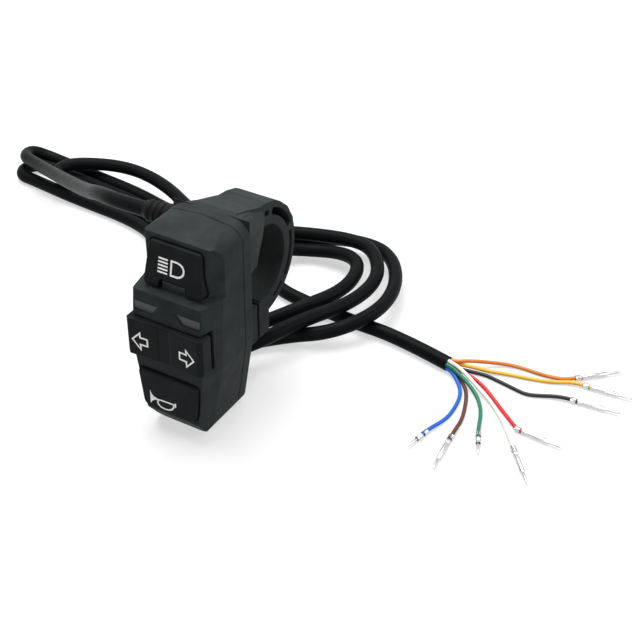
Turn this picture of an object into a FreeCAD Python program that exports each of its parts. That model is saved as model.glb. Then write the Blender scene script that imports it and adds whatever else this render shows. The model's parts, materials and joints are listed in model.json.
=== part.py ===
import FreeCAD, Part
import math
import os
import Sketcher
from FreeCAD import Placement, Rotation, Vector

# Handlebar combination switch: headlight push button, turn rocker and horn button
# on a two-part moulded housing with a ribbed C-clamp, and a coiled eight-core cable.
# X runs along the handlebar, -Y is the rider's side, +Z is up. Millimetres.
# Sketch depths are counted from the parting plane between the two shells.

doc = FreeCAD.newDocument("handlebar_switch")

# Driving dimensions
DIMENSIONS = {
    # housing envelope
    "half_wide": 11.7, "tall": 58.0, "foot_half": 8.3, "taper_top": 22.0, "wall": 1.7,
    "corner_r": 4.5, "rear_deep": 3.8, "step_z": 42.4, "rim_z": 56.2, "edge_r": 0.6,
    "foot_r": 4.0, "groove": 0.25, "button_r": 1.2, "horn_low_r": 2.4,
    # front face, as distances forward of the parting plane
    "foot_fwd": 12.8, "chin_fwd": 17.6, "chin_z": 6.2, "face_fwd": 17.8, "band_fwd": 16.8,
    "bezel_low_fwd": 13.2, "bezel_top_fwd": 10.9, "crown_fwd": 6.5, "crown_drop": 1.0,
    "cavity_fwd": 8.2, "floor_fwd": 11.4, "front_wall": 1.9,
    # headlight push button
    "lamp_low_half": 8.9, "lamp_top_half": 7.7, "lamp_low_z": 42.9, "lamp_top_z": 54.8,
    "lamp_low_fwd": 14.6, "lamp_top_fwd": 11.8, "lamp_travel": 1.8, "notch_half": 4.2,
    "notch_tall": 2.6, "guide_half": 3.4, "guide_fwd": 13.4,
    # turn rocker
    "rocker_half": 11.5, "rocker_low_z": 23.8, "rocker_top_z": 34.9, "rocker_fwd": 19.6,
    "rocker_skirt_fwd": 15.2, "sill_fwd": 13.3, "pivot_fwd": 14.7, "pin_r": 1.0,
    "strip_half": 1.5, "valley": 0.7, "rocker_end": 1.1,
    # horn button
    "horn_low_half": 7.9, "horn_top_half": 9.3, "horn_low_z": 7.4, "horn_top_z": 19.3,
    "horn_fwd": 18.7, "horn_travel": 1.6,
    # indicator windows
    "window_in": 2.6, "window_out": 10.0, "window_low_z": 36.5, "window_top_z": 39.3,
    "window_slant": 2.0,
    # clearances
    "gap": 0.35, "slip": 0.1, "pin_fit": 0.05, "seat": 0.05,
    # clamp
    "bar_r": 11.1, "bore_back": 16.8, "bore_z": 35.8, "ring_half": 6.3,
    "band_r": 16.4, "web_half": 1.3, "saddle_half": 8.8,
    "fairing_half": 10.6, "slit": 0.9, "slit_back": 14.9, "lug_back": 19.8, "lug_low_z": 13.0,
    "clamp_z": 17.6, "clamp_r": 2.0, "clamp_head_r": 3.5, "clamp_head": 4.0,
    "nut_flats": 7.0, "nut_tall": 3.2,
    # board, switches and screws
    "board_back_fwd": 4.2, "board_thick": 1.2, "board_half": 6.2, "board_low_z": 8.6,
    "board_top_z": 53.4, "switch_half": 3.6, "switch_tall": 3.6, "stem_half": 1.2,
    "slide_arm": 6.3, "screw_r": 1.0, "head_r": 1.9, "head_tall": 1.3, "boss_r": 2.1,
    "low_screw_x": 5.2, "low_screw_z": 5.4, "high_screw_x": 8.6, "high_screw_z": 24.4,
    "board_screw_low_z": 21.9, "board_screw_top_z": 39.6,
    # cable
    "cable_r": 2.1, "exit_back": 5.5, "exit_z": 50.0, "gland_r": 3.5, "gland_long": 10.0,
    "coil_z": 2.2, "coil_pitch": 4.9, "wire_r": 0.55,
}

sheet = doc.addObject("Spreadsheet::Sheet", "dims")
for row, (alias, number) in enumerate(DIMENSIONS.items(), start=1):
    sheet.set("A%d" % row, alias)
    sheet.set("B%d" % row, str(number))
    sheet.setAlias("B%d" % row, alias)
doc.recompute()


class Size:
    """A length that keeps the sheet expression it is worked out from."""

    def __init__(self, value, text):
        self.value = value
        self.text = text

    def joined(self, other, sign, result):
        return Size(result, "(%s %s %s)" % (self.text, sign, other.text))

    def __add__(self, other):
        other = as_size(other)
        return self.joined(other, "+", self.value + other.value)

    def __sub__(self, other):
        other = as_size(other)
        return self.joined(other, "-", self.value - other.value)

    def __mul__(self, other):
        other = as_size(other)
        return self.joined(other, "*", self.value * other.value)

    def __truediv__(self, other):
        other = as_size(other)
        return self.joined(other, "/", self.value / other.value)

    def __radd__(self, other):
        return as_size(other) + self

    def __rsub__(self, other):
        return as_size(other) - self

    def __rmul__(self, other):
        return as_size(other) * self

    def __neg__(self):
        return Size(-self.value, "(0 - %s)" % self.text)


def as_size(thing):
    if isinstance(thing, Size):
        return thing
    return Size(float(thing), "%.6f" % thing)


def dim(alias):
    return Size(float(sheet.get(alias)), "dims." + alias)


def bind(thing, prop, size):
    """Give a property its number now and its sheet expression for later."""
    size = as_size(size)
    thing.setExpression(prop, size.text)


# How far the parting plane lies from the middle of the whole depth
PART_Y = (dim("rocker_fwd") - (dim("bore_back") + dim("band_r"))) / 2

NODES = []


def new_body(label, at_parting=True):
    body = doc.addObject("PartDesign::Body", label)
    body.Label = label
    if at_parting:
        bind(body, "Placement.Base.y", PART_Y)
    NODES.append(body)
    return body


def base_plane(body, role):
    for feature in body.Origin.OriginFeatures:
        if feature.Role == role:
            return feature
    raise ValueError(role)


def new_sketch(body, role, offset):
    sketch = body.newObject("Sketcher::SketchObject", "sketch")
    sketch.AttachmentSupport = [(base_plane(body, role), "")]
    sketch.MapMode = "FlatFace"
    bind(sketch, "AttachmentOffset.Base.z", offset)
    return sketch


def pin_point(sketch, geometry, end, x, y):
    """Fix one point of a sketch at two sheet-driven coordinates."""
    for kind, size in (("DistanceX", as_size(x)), ("DistanceY", as_size(y))):
        index = sketch.addConstraint(Sketcher.Constraint(kind, -1, 1, geometry, end, size.value))
        sketch.setExpression("Constraints[%d]" % index, size.text)


def polygon(sketch, points):
    """A closed outline of straight lines through the given points."""
    points = [(as_size(x), as_size(y)) for x, y in points]
    first = sketch.GeometryCount
    count = len(points)
    for i, (x, y) in enumerate(points):
        nx, ny = points[(i + 1) % count]
        sketch.addGeometry(Part.LineSegment(Vector(x.value, y.value, 0), Vector(nx.value, ny.value, 0)))
    for i in range(count):
        after = first + (i + 1) % count
        sketch.addConstraint(Sketcher.Constraint("Coincident", first + i, 2, after, 1))
    for i, (x, y) in enumerate(points):
        pin_point(sketch, first + i, 1, x, y)


def box_outline(sketch, x0, x1, y0, y1):
    polygon(sketch, [(x0, y0), (x1, y0), (x1, y1), (x0, y1)])


def disc(sketch, x, y, radius):
    radius = as_size(radius)
    x, y = as_size(x), as_size(y)
    geometry = sketch.addGeometry(Part.Circle(Vector(x.value, y.value, 0), Vector(0, 0, 1), radius.value))
    index = sketch.addConstraint(Sketcher.Constraint("Radius", geometry, radius.value))
    sketch.setExpression("Constraints[%d]" % index, radius.text)
    pin_point(sketch, geometry, 3, x, y)


def mirrored(points):
    return [(-x if isinstance(x, Size) else -1 * x, y) for x, y in points]


def both_sides(sketch, points):
    polygon(sketch, points)
    polygon(sketch, mirrored(points))


def pad(body, sketch, length, reverse=False, middle=False):
    feature = body.newObject("PartDesign::Pad", "pad")
    feature.Profile = sketch
    bind(feature, "Length", length)
    feature.Reversed = reverse
    feature.Midplane = middle
    body.Tip = feature
    doc.recompute()
    return feature


def pocket(body, sketch, length, reverse=False, middle=False):
    """Cut a sketch out of the body and make sure that it removes something."""
    before = body.Shape.Volume
    feature = body.newObject("PartDesign::Pocket", "pocket")
    feature.Profile = sketch
    bind(feature, "Length", length)
    feature.Reversed = reverse
    feature.Midplane = middle
    body.Tip = feature
    doc.recompute()
    if not body.Shape.Volume < before - 1e-4:
        raise RuntimeError("%s: a pocket cut nothing" % body.Label)
    return feature


def front_pad(body, draw, back_fwd, front_fwd):
    """Material between two distances forward of the parting plane."""
    sketch = new_sketch(body, "XZ_Plane", back_fwd)
    draw(sketch)
    return pad(body, sketch, as_size(front_fwd) - back_fwd)


def front_cut(body, draw, back_fwd, front_fwd):
    """A cut between two distances forward of the parting plane."""
    sketch = new_sketch(body, "XZ_Plane", back_fwd)
    draw(sketch)
    return pocket(body, sketch, as_size(front_fwd) - back_fwd, reverse=True)


def side_pad(body, points, half):
    """A profile in depth and height, padded equally to both sides."""
    sketch = new_sketch(body, "YZ_Plane", 0)
    polygon(sketch, points)
    return pad(body, sketch, as_size(half) * 2, middle=True)


def side_cut(body, points, half):
    sketch = new_sketch(body, "YZ_Plane", 0)
    polygon(sketch, points)
    return pocket(body, sketch, as_size(half) * 2, middle=True)


def edges_where(shape, test):
    return ["Edge%d" % (i + 1) for i, edge in enumerate(shape.Edges) if test(edge)]


def along(edge, axis):
    """Whether an edge is straight and parallel to an axis."""
    ends = edge.Vertexes
    if len(ends) != 2 or edge.Curve.TypeId != "Part::GeomLine":
        return False
    way = ends[1].Point - ends[0].Point
    return way.cross(axis).Length < 0.02 * way.Length


def fillet(body, radius, test):
    base = body.Tip
    names = edges_where(base.Shape, test)
    if not names:
        raise RuntimeError("%s: no edge to round" % body.Label)
    feature = body.newObject("PartDesign::Fillet", "fillet")
    feature.Base = (base, names)
    bind(feature, "Radius", radius)
    body.Tip = feature
    doc.recompute()
    return feature


def chamfer(body, size, test):
    base = body.Tip
    feature = body.newObject("PartDesign::Chamfer", "chamfer")
    feature.Base = (base, edges_where(base.Shape, test))
    bind(feature, "Size", size)
    body.Tip = feature
    doc.recompute()


def at_depth(depth):
    """Whether an edge lies wholly in one plane in front of or behind the parting plane."""
    def test(edge):
        box = edge.BoundBox
        return box.YLength < 1e-4 and abs(box.YMin - as_size(depth).value) < 1e-3
    return test


Y_AXIS = Vector(0, 1, 0)
Z_AXIS = Vector(0, 0, 1)

# Sizes used by more than one sub-part
HALF = dim("half_wide")
WALL = dim("wall")
TALL = dim("tall")
GAP = dim("gap")
SLIP = dim("slip")
SEAT = dim("seat")
STEP_Z = dim("step_z")
TAPER = dim("taper_top")
FLOOR = dim("floor_fwd")
SHOULDER = TALL - 1.2
BOARD_FRONT = dim("board_back_fwd") + dim("board_thick")
SWITCH_TOP = BOARD_FRONT + dim("switch_tall")
LAMP_ROOF = SWITCH_TOP + dim("lamp_travel") + 0.2
LAMP_MID = (dim("lamp_low_z") + dim("lamp_top_z")) / 2 - 0.3
HORN_MID = (dim("horn_low_z") + dim("horn_top_z")) / 2
ROCKER_MID = (dim("rocker_low_z") + dim("rocker_top_z")) / 2
LED_Z = (dim("window_low_z") + dim("window_top_z")) / 2
LAMP_LED_Z = dim("lamp_low_z") + 0.9
TOO_FAR = 22
LOW_SCREWS = [(-dim("low_screw_x"), dim("low_screw_z")), (dim("low_screw_x"), dim("low_screw_z"))]
HIGH_SCREWS = [(-dim("high_screw_x"), dim("high_screw_z")), (dim("high_screw_x"), dim("high_screw_z"))]
BOARD_SCREWS = [(0, dim("board_screw_low_z")), (0, dim("board_screw_top_z"))]


def discs(sketch, centres, radius):
    for x, y in centres:
        disc(sketch, x, y, radius)


def rear_pad(body, draw, from_back, to_back):
    """Material between two distances behind the parting plane."""
    sketch = new_sketch(body, "XZ_Plane", -as_size(from_back))
    draw(sketch)
    return pad(body, sketch, as_size(to_back) - from_back, reverse=True)


def rear_cut(body, draw, from_back, to_back):
    sketch = new_sketch(body, "XZ_Plane", -as_size(from_back))
    draw(sketch)
    return pocket(body, sketch, as_size(to_back) - from_back)


def shell_outline(sketch):
    """The parting outline: tapered foot, straight sides and a slightly arched top."""
    foot = dim("foot_half")
    polygon(sketch, [
        (-foot, 0), (foot, 0), (HALF, TAPER), (HALF, SHOULDER),
        (0, TALL), (-HALF, SHOULDER), (-HALF, TAPER),
    ])


def cavity_outline(sketch):
    foot = dim("foot_half") - WALL
    half = HALF - WALL
    top = TALL - 2.8
    polygon(sketch, [
        (-foot, WALL), (foot, WALL), (half, TAPER), (half, top - 2.8),
        (half - 1.9, top - 0.5), (0, top), (1.9 - half, top - 0.5), (-half, top - 2.8), (-half, TAPER),
    ])


def corner_at(x, z):
    """Whether an edge runs in depth at a given place of the front view."""
    def test(edge):
        middle = edge.BoundBox.Center
        return along(edge, Y_AXIS) and abs(abs(middle.x) - x.value) < 0.3 and abs(middle.z - z.value) < 0.3
    return test


def round_outline(body):
    fillet(body, dim("corner_r"), corner_at(HALF, SHOULDER))
    fillet(body, dim("foot_r"), corner_at(dim("foot_half"), as_size(0)))


def trapezoid(low_half, top_half, low_z, top_z):
    def draw(sketch):
        polygon(sketch, [(-low_half, low_z), (low_half, low_z), (top_half, top_z), (-top_half, top_z)])
    return draw


def eased_trapezoid(low_half, top_half, low_z, top_z, low_r):
    """A trapezoid whose corners turn in three short steps."""
    top_r = dim("button_r") + GAP
    slope = (top_half - low_half) / (top_z - low_z)
    low_x, top_x = low_half + slope * low_r - low_r, top_half - slope * top_r - top_r
    right = []
    for angle in (-90, -60, -30, 0):
        turn = math.radians(angle)
        right.append((low_x + low_r * math.cos(turn), low_z + low_r + low_r * math.sin(turn)))
    for angle in (0, 30, 60, 90):
        turn = math.radians(angle)
        right.append((top_x + top_r * math.cos(turn), top_z - top_r + top_r * math.sin(turn)))

    def draw(sketch):
        polygon(sketch, right + mirrored(right)[::-1])
    return draw


def rectangle(x0, x1, z0, z1):
    def draw(sketch):
        box_outline(sketch, x0, x1, z0, z1)
    return draw


def holes(centres, radius):
    def draw(sketch):
        discs(sketch, centres, radius)
    return draw


def front_line():
    """The front face in depth and height, from the foot up to the crown."""
    return [
        (-dim("foot_fwd"), 0), (-dim("chin_fwd"), dim("chin_z")), (-dim("face_fwd"), TAPER - 2),
        (-dim("face_fwd"), dim("rocker_top_z")), (-dim("band_fwd"), STEP_Z),
        (-dim("bezel_low_fwd"), STEP_Z + 0.3), (-dim("bezel_top_fwd"), dim("rim_z")),
        (-dim("crown_fwd"), TALL - dim("crown_drop")), (0, TALL),
    ]


def upper_facets(body):
    """Bevels that run down both sides of the headlight zone."""
    sketch = new_sketch(body, "XY_Plane", STEP_Z)
    start = as_size(-8.2)
    both_sides(sketch, [
        (HALF, start), (HALF - 10.8, -TOO_FAR), (HALF + 2, -TOO_FAR), (HALF + 2, start),
    ])
    pocket(body, sketch, 18, reverse=True)


def lower_facets(body):
    """Steeper bevels beside the rocker and horn; below the taper they follow the foot."""
    start, lean = as_size(-10.6), 2.3
    side = [
        (HALF + 0.01, start), (HALF - lean, -TOO_FAR), (HALF + 9, -TOO_FAR), (HALF + 9, start),
    ]
    sketch = new_sketch(body, "XY_Plane", TAPER)
    both_sides(sketch, side)
    slanted = pocket(body, sketch, 22, reverse=True)
    slant(slanted, Vector(0, 0.06, 1))
    for sign in (1, -1):
        sketch = new_sketch(body, "XY_Plane", TAPER)
        polygon(sketch, side if sign > 0 else mirrored(side))
        slanted = pocket(body, sketch, 24)
        slant(slanted, Vector(-0.1545 * sign, -0.064, -1))


def slant(feature, way):
    """Let a pocket run along a slanting direction."""
    feature.UseCustomVector = True
    feature.Direction = way
    feature.AlongSketchNormal = True
    feature.Reversed = False
    doc.recompute()


def make_front_shell():
    body = new_body("front_shell")
    front_pad(body, shell_outline, 0, TOO_FAR - 1)
    round_outline(body)
    chamfer(body, dim("groove"), at_depth(0))
    side_cut(body, [(-dim("foot_fwd"), -1)] + front_line() + [(0, TALL + 3), (-30, TALL + 3), (-30, -1)], 16)
    upper_facets(body)
    lower_facets(body)
    outer_front_edges(body)
    front_cut(body, cavity_outline, 0, dim("cavity_fwd"))
    inner = HALF - WALL
    ledge = STEP_Z - 1.4
    front_cut(body, rectangle(0.8 - inner, inner - 0.8, TAPER - 1.2, ledge), dim("cavity_fwd"), FLOOR)
    band_room = dim("band_fwd") - dim("front_wall")
    front_cut(body, rectangle(2.1 - HALF, HALF - 2.1, dim("rocker_top_z") + 1.6, ledge), FLOOR, band_room)
    horn_room = dim("face_fwd") - dim("front_wall")
    front_cut(body, trapezoid(as_size(6.7), as_size(8.5), dim("horn_low_z") - 1.7, dim("horn_top_z") + 1.4),
              dim("cavity_fwd"), horn_room)
    front_cut(body, eased_trapezoid(dim("lamp_low_half") + GAP, dim("lamp_top_half") + GAP,
                                    dim("lamp_low_z") - GAP, dim("lamp_top_z") + GAP, dim("button_r") + GAP),
              dim("cavity_fwd") - dim("lamp_travel") - 1.5, TOO_FAR)
    front_cut(body, eased_trapezoid(dim("horn_low_half") + GAP, dim("horn_top_half") + GAP,
                                    dim("horn_low_z") - GAP, dim("horn_top_z") + GAP, dim("horn_low_r") + GAP),
              dim("cavity_fwd"), TOO_FAR)
    low, top = dim("rocker_low_z") - GAP, dim("rocker_top_z") + GAP
    front_cut(body, rectangle(-HALF - 1, HALF + 1, low, top), dim("sill_fwd"), TOO_FAR)
    front_cut(body, rectangle(1.6 - HALF, HALF - 1.6, low, top), FLOOR + 1.2, dim("sill_fwd"))
    front_cut(body, rectangle(-2.0, 2.0, ROCKER_MID - 1.9, ROCKER_MID + 1.9), FLOOR - 0.5, FLOOR + 2)
    sketch = new_sketch(body, "XZ_Plane", FLOOR - 0.5)
    both_sides(sketch, window_points(as_size(0)))
    pocket(body, sketch, TOO_FAR - FLOOR, reverse=True)
    front_cut(body, rectangle(-2.1, 2.1, ledge + 0.5, dim("lamp_low_z")), 9.9, 12.1)
    front_pad(body, holes(LOW_SCREWS, dim("boss_r")), 0, dim("cavity_fwd") + 0.3)
    front_pad(body, holes(HIGH_SCREWS, dim("boss_r")), 0, FLOOR + 0.3)
    front_pad(body, holes(BOARD_SCREWS, dim("boss_r") - 0.2), BOARD_FRONT, FLOOR + 0.3)
    front_cut(body, holes(LOW_SCREWS + HIGH_SCREWS, dim("screw_r") + SEAT), 0, dim("cavity_fwd"))
    front_cut(body, holes(BOARD_SCREWS, dim("screw_r") + SEAT), BOARD_FRONT, FLOOR - 0.6)
    sketch = new_sketch(body, "XY_Plane", low - 1.8)
    disc(sketch, 0, -dim("pivot_fwd"), dim("pin_r") + 0.01)
    pocket(body, sketch, top - low + 3.6, reverse=True)
    return body


def outer_front_edges(body):
    """Soften the outside edges of the front casing, away from the parting plane."""
    def test(edge):
        middle = edge.BoundBox.Center
        at_step = abs(middle.z - STEP_Z.value) < 0.5
        return middle.y < -12 and edge.Length > 3 and not at_step
    fillet(body, dim("edge_r"), test)


def window_points(grow):
    """One indicator window, with its slanted inner edge, enlarged all round."""
    inner, outer = dim("window_in"), dim("window_out")
    low, top = dim("window_low_z") - grow, dim("window_top_z") + grow
    return [
        (inner + dim("window_slant") - grow, low), (outer + grow, low), (outer + grow, top), (inner - grow, top),
    ]


def arc_point(angle, radius):
    """A point of the clamp ring in depth and height; 0 degrees points back, 90 up."""
    turn = math.radians(angle)
    return dim("bore_back") + as_size(radius) * math.cos(turn), dim("bore_z") + as_size(radius) * math.sin(turn)


def ring_window(sketch, low, high, inner, outer):
    """A curved slot between two angles and two radii of the clamp ring."""
    centre = Vector(dim("bore_back").value, dim("bore_z").value, 0)
    first = sketch.GeometryCount
    for radius in (inner, outer):
        circle = Part.Circle(centre, Vector(0, 0, 1), float(radius))
        arc = sketch.addGeometry(Part.ArcOfCircle(circle, math.radians(low), math.radians(high)))
        pin_point(sketch, arc, 3, dim("bore_back"), dim("bore_z"))
        sketch.addConstraint(Sketcher.Constraint("Radius", arc, float(radius)))
        for end, angle in ((1, low), (2, high)):
            y, z = arc_point(angle, radius)
            steep = abs(math.sin(math.radians(angle))) > 0.7
            kind, size = ("DistanceX", y) if steep else ("DistanceY", z)
            index = sketch.addConstraint(Sketcher.Constraint(kind, -1, 1, arc, end, size.value))
            sketch.setExpression("Constraints[%d]" % index, size.text)
    for end, angle in ((1, low), (2, high)):
        (y0, z0), (y1, z1) = arc_point(angle, inner), arc_point(angle, outer)
        line = Part.LineSegment(Vector(y0.value, z0.value, 0), Vector(y1.value, z1.value, 0))
        index = sketch.addGeometry(line)
        sketch.addConstraint(Sketcher.Constraint("Coincident", index, 1, first, end))
        sketch.addConstraint(Sketcher.Constraint("Coincident", index, 2, first + 1, end))


def side_disc_pad(body, y, z, radius, x0, x1):
    """A round pad along the handlebar direction."""
    sketch = new_sketch(body, "YZ_Plane", x0)
    disc(sketch, y, z, radius)
    return pad(body, sketch, as_size(x1) - x0)


def side_disc_cut(body, y, z, radius, x0, x1):
    sketch = new_sketch(body, "YZ_Plane", x0)
    disc(sketch, y, z, radius)
    return pocket(body, sketch, as_size(x1) - x0, reverse=True)


# Ribbed C-clamp moulding: angles of the lightening pockets between the ribs,
# with their inner and outer radii as wall thicknesses over the bar
RING_POCKETS = [(75, 86, 2.7, 4.2), (21, 69, 2.5, 4.6), (-40, 13, 2.7, 4.1), (-68, -48, 2.6, 3.7)]


def make_rear_shell():
    body = new_body("rear_shell")
    deep = dim("rear_deep")
    rear_pad(body, shell_outline, 0, deep)
    round_outline(body)
    chamfer(body, dim("groove"), at_depth(0))
    fillet(body, dim("edge_r"), at_depth(deep))
    rear_cut(body, cavity_outline, 0, deep - WALL)
    clamp_saddle(body)
    clamp_ring(body)
    bore_z, bore_back = dim("bore_z"), dim("bore_back")
    side_disc_cut(body, bore_back, bore_z, dim("bar_r"), -HALF - 1, HALF + 1)
    side_cut(body, [(bore_back - 4.8, bore_z - 11.4), (bore_back - 1.3, bore_z - 11.4),
                    (bore_back - 1.3, bore_z - 9.8), (bore_back - 4.8, bore_z - 9.8)], 8)
    cut_ring_pockets(body)
    clamp_screw_holes(body)
    cable_entry(body)
    rear_pad(body, holes(LOW_SCREWS + HIGH_SCREWS, dim("boss_r")), 0, deep - WALL + 0.2)
    rear_cut(body, holes(LOW_SCREWS + HIGH_SCREWS, dim("screw_r") + 0.15), 0, deep)
    rear_cut(body, holes(LOW_SCREWS + HIGH_SCREWS, dim("head_r") + 0.15), deep - dim("head_tall") - 0.1, deep + 1)
    rear_pad(body, rectangle(-3, 3, TALL - 4.2, TALL - 3.0), -1.6, deep - WALL + 0.2)
    return body


def clamp_saddle(body):
    """The wide seat against the bar and the fairing that carries the ring above it."""
    deep, half = dim("rear_deep"), dim("saddle_half")
    side_pad(body, [(deep - 0.2, 30), (9.4, 30), (9.4, STEP_Z), (deep - 0.2, STEP_Z)], half)
    sketch = new_sketch(body, "XY_Plane", STEP_Z - 0.4)
    fair = dim("fairing_half")
    points = [(HALF - 0.3, deep - 0.2), (fair, 8), (8.9, 13), (dim("ring_half"), 18.5)]
    polygon(sketch, points + [(-as_size(x), y) for x, y in reversed(points)])
    pad(body, sketch, TALL - STEP_Z)
    side_cut(body, [(deep - 1, TALL + 2), (deep - 1, TALL - 0.5), (6, TALL - 1), (13.4, TALL - 3.5), (20, TALL - 5),
                    (20, TALL + 2)], 13)
    corner = [
        (HALF + 1, TALL - 5.7), (HALF, TALL - 5.7), (HALF - 0.35, TALL - 3.8), (HALF - 1.5, TALL - 2.1),
        (HALF - 3.1, TALL - 1.0), (HALF - 4.7, TALL - 0.6), (HALF - 4.7, TALL + 2), (HALF + 1, TALL + 2),
    ]
    for sign in (1, -1):
        sketch = new_sketch(body, "XZ_Plane", -deep)
        polygon(sketch, corner if sign > 0 else mirrored(corner))
        slant(pocket(body, sketch, 18), Vector(-0.3 * sign, 1, -0.28))
    side_cut(body, [(8, STEP_Z - 2), (8, STEP_Z), (13, STEP_Z + 3.6), (19, STEP_Z + 6.2), (22, STEP_Z + 6.2),
                    (22, STEP_Z - 2)], 13)


def clamp_ring(body):
    half, back, height = dim("ring_half"), dim("bore_back"), dim("bore_z")
    side_disc_pad(body, back, height, dim("band_r"), -half, half)
    crown = [(4, 42), (4, 57.3), (6, 57), (13.4, 54.5), (16.2, 53.5), (20, 53), (24.2, 51.7), (26, 50.6),
             (29.8, 47.2), (32.4, 42.6), (33.2, 38.6), (33, 34)]
    side_pad(body, crown + [(back, height)], half)
    deep, low = dim("rear_deep"), dim("lug_low_z")
    side_pad(body, [(deep - 0.2, low), (dim("lug_back"), low), (dim("lug_back"), low + 10), (deep - 0.2, low + 13)],
             half)
    slit = dim("slit_back")
    side_cut(body, [(slit - dim("slit"), low - 1), (slit, low - 1), (slit, low + 13), (slit - dim("slit"), low + 13)],
             half + 3)


def cut_ring_pockets(body):
    """Pockets from both sides that leave ribs and a web in the middle of the band."""
    half, web, bar = dim("ring_half"), dim("web_half"), dim("bar_r").value
    for low, high, inner, outer in RING_POCKETS:
        for side in (1, -1):
            sketch = new_sketch(body, "YZ_Plane", half * side)
            ring_window(sketch, low, high, bar + inner, bar + outer)
            pocket(body, sketch, half - web, reverse=side < 0)


def hexagon(sketch, x, z, flats):
    radius = flats / math.sqrt(3)
    polygon(sketch, [(x + radius * math.cos(math.radians(60 * i)), z + radius * math.sin(math.radians(60 * i)))
                     for i in range(6)])


def clamp_screw_holes(body):
    height, deep = dim("clamp_z"), dim("rear_deep")
    rear_cut(body, holes([(0, height)], dim("clamp_r") + 0.2), 0, dim("lug_back") + 1)
    rear_cut(body, holes([(0, height)], dim("clamp_head_r") + 0.2), dim("lug_back") - 2.2, dim("lug_back") + 8)
    sketch = new_sketch(body, "XZ_Plane", -(deep - WALL))
    hexagon(sketch, as_size(0), height, dim("nut_flats") + 2 * SEAT)
    pocket(body, sketch, 9.7)


def cable_entry(body):
    """The round boss for the gland and the way through to the inside."""
    y, z = dim("exit_back"), dim("exit_z")
    face = HALF + 0.1
    side_disc_pad(body, y, z, 4.1, -face, as_size(-7))
    side_disc_cut(body, y, z, 2.7 + SEAT, -HALF - 1, as_size(-4))
    rear_cut(body, rectangle(-8, -1, z - 2.5, z + 2.5), 0, y + 2.2)


def slanted_front(body, low_fwd, top_fwd, low_z, top_z):
    """Cut everything in front of a slanting face."""
    side_cut(body, [(-low_fwd, low_z - 1), (-top_fwd, top_z + 1), (-TOO_FAR - 6, top_z + 1),
                    (-TOO_FAR - 6, low_z - 1)], 14)


def make_headlight_button():
    body = new_body("headlight_button")
    low, top = dim("lamp_low_z"), dim("lamp_top_z")
    low_half, top_half = dim("lamp_low_half"), dim("lamp_top_half")
    behind = BOARD_FRONT + dim("lamp_travel") + 0.2
    catch = dim("cavity_fwd") - SLIP
    front_pad(body, trapezoid(low_half, top_half, low, top), behind, TOO_FAR - 1)
    front_pad(body, rectangle(as_size(-9.6), as_size(9.6), LAMP_MID - 3, LAMP_MID + 2), behind, catch)
    slanted_front(body, dim("lamp_low_fwd"), dim("lamp_top_fwd"), low, top)
    fillet(body, dim("button_r"), corner_at(low_half, low))
    fillet(body, dim("button_r"), corner_at(top_half, top))
    fillet(body, 0.5, lambda edge: edge.BoundBox.YMax < -dim("lamp_top_fwd").value + 0.3)
    front_cut(body, trapezoid(low_half - 1.3, top_half - 1.3, low + 1.2, top - 1.2), behind, LAMP_ROOF)
    notch, high = dim("notch_half"), low + dim("notch_tall")
    side = [(notch, low - 1), (notch, high - 1.0), (notch - 0.3, high - 0.3), (notch - 1.0, high)]
    front_cut(body, lambda sketch: polygon(sketch, side + mirrored(side)[::-1]), behind, TOO_FAR)
    return body


def make_light_pipe():
    """Clear block behind the notch of the headlight button, held by a foot in the casing."""
    body = new_body("headlight_light_pipe")
    half, low = dim("guide_half"), dim("lamp_low_z") - GAP + SLIP
    front_pad(body, rectangle(-half, half, low, dim("lamp_low_z") + dim("notch_tall") - 0.7), 8.6, dim("guide_fwd"))
    front_pad(body, rectangle(-2, 2, STEP_Z - 0.8, low + 0.2), 10, 12)
    return body


def make_horn_button():
    body = new_body("horn_button")
    low, top = dim("horn_low_z"), dim("horn_top_z")
    low_half, top_half = dim("horn_low_half"), dim("horn_top_half")
    front, behind = dim("horn_fwd"), dim("cavity_fwd") + 0.6 + dim("horn_travel")
    catch = dim("face_fwd") - dim("front_wall") - SLIP
    front_pad(body, trapezoid(low_half, top_half, low, top), behind, front)
    fillet(body, dim("horn_low_r"), corner_at(low_half, low))
    fillet(body, dim("button_r"), corner_at(top_half, top))
    fillet(body, 0.5, lambda edge: edge.BoundBox.YMax < -front.value + 0.01)
    front_pad(body, rectangle(-5, 5, low - 1.3, top + 1.0), catch - 1.2, catch)
    front_cut(body, trapezoid(low_half - 1.3, top_half - 1.3, low + 1.2, top - 1.2), behind, front - 1.6)
    stem = dim("stem_half") + 0.6
    front_pad(body, rectangle(-stem, stem, HORN_MID - stem, HORN_MID + stem), 11.3, front - 1)
    return body


def make_indicator_lens(label, side):
    body = new_body(label)
    back = dim("band_fwd") - dim("front_wall")
    sketch = new_sketch(body, "XZ_Plane", back - SLIP)
    points = window_points(-SEAT)
    polygon(sketch, points if side > 0 else mirrored(points))
    pad(body, sketch, dim("front_wall") + 0.3)
    flange = [
        (dim("window_in") - 0.9, dim("rocker_top_z") + 1.7), (HALF - 2.2, dim("rocker_top_z") + 1.7),
        (HALF - 2.2, dim("window_top_z") + 1), (dim("window_in") - 0.9, dim("window_top_z") + 1),
    ]
    sketch = new_sketch(body, "XZ_Plane", back - 1)
    polygon(sketch, flange if side > 0 else mirrored(flange))
    pad(body, sketch, 1 - SLIP)
    return body


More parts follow.
